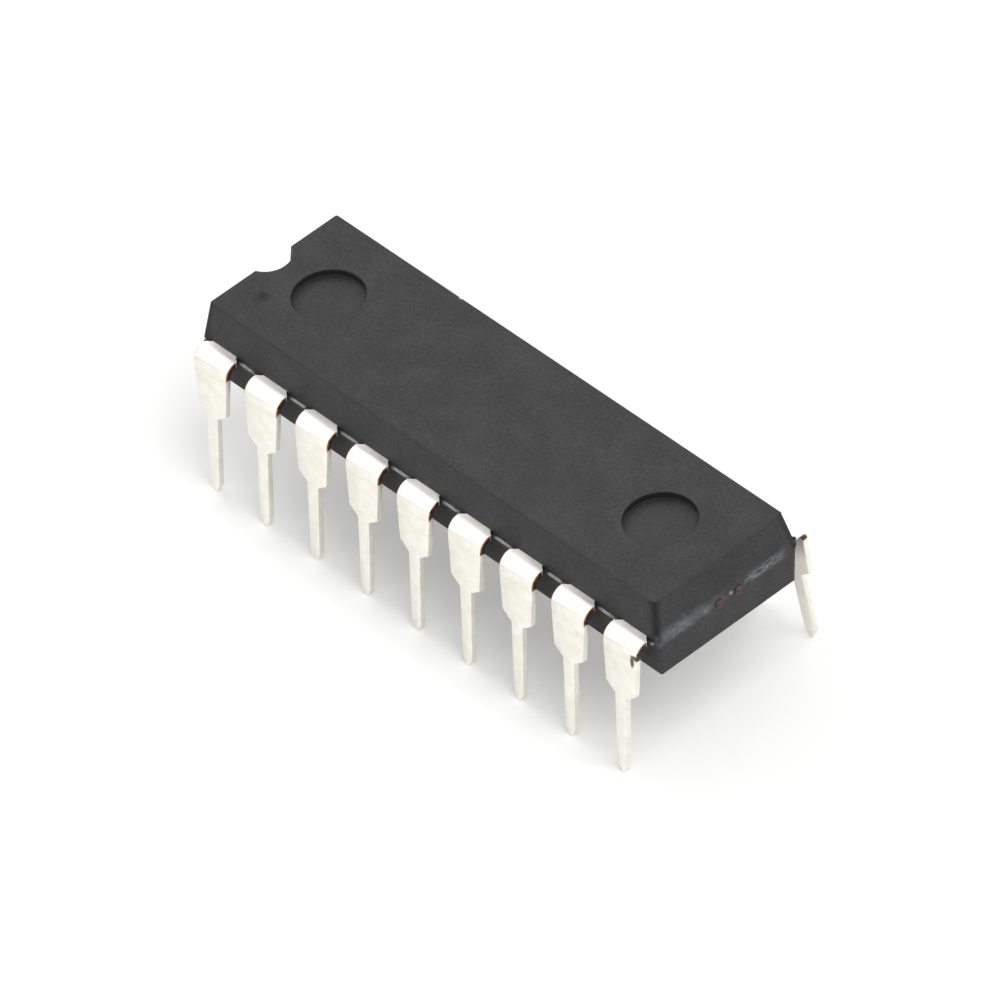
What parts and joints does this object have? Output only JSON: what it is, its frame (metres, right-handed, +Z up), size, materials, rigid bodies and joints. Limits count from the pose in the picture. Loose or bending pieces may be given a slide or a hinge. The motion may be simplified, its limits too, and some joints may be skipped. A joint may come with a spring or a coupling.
{
  "type": "dip integrated circuit chip",
  "caption": "Dual in-line integrated circuit: moulded black resin body over a wire-bonded lead frame, with two rows of tinned through-hole leads.",
  "frame": {"origin": "centre of the lead pattern, in the plane of the lead tips", "axes": "+X along the body, from the notched pin 1 end to the other end; +Y across the body, from the row of pins 1 to 9 to the row of pins 10 to 18; +Z up, from the lead tips to the top face"},
  "size_m": [0.0226, 0.0088, 0.0072],
  "materials": {
    "moulded_resin": "fine matt mould texture",
    "tinned_lead": "matt tin plate",
    "frame_copper": "bare copper alloy",
    "silicon": "polished silicon",
    "silver_adhesive": "silver-filled resin",
    "bond_gold": "drawn gold wire"
  },
  "bodies": {
    "root": {"body": "moulded_resin", "die_paddle": "frame_copper", "die_attach": "silver_adhesive", "die": "silicon", "lead_1": "tinned_lead", "lead_2": "tinned_lead", "lead_3": "tinned_lead", "lead_4": "tinned_lead", "lead_5": "tinned_lead", "lead_6": "tinned_lead", "lead_7": "tinned_lead", "lead_8": "tinned_lead", "lead_9": "tinned_lead", "lead_10": "tinned_lead", "lead_11": "tinned_lead", "lead_12": "tinned_lead", "lead_13": "tinned_lead", "lead_14": "tinned_lead", "lead_15": "tinned_lead", "lead_16": "tinned_lead", "lead_17": "tinned_lead", "lead_18": "tinned_lead", "bond_wire_1": "bond_gold", "bond_wire_2": "bond_gold", "bond_wire_3": "bond_gold", "bond_wire_4": "bond_gold", "bond_wire_5": "bond_gold", "bond_wire_6": "bond_gold", "bond_wire_7": "bond_gold", "bond_wire_8": "bond_gold", "bond_wire_9": "bond_gold", "bond_wire_10": "bond_gold", "bond_wire_11": "bond_gold", "bond_wire_12": "bond_gold", "bond_wire_13": "bond_gold", "bond_wire_14": "bond_gold", "bond_wire_15": "bond_gold", "bond_wire_16": "bond_gold", "bond_wire_17": "bond_gold", "bond_wire_18": "bond_gold"}
  },
  "joints": []
}
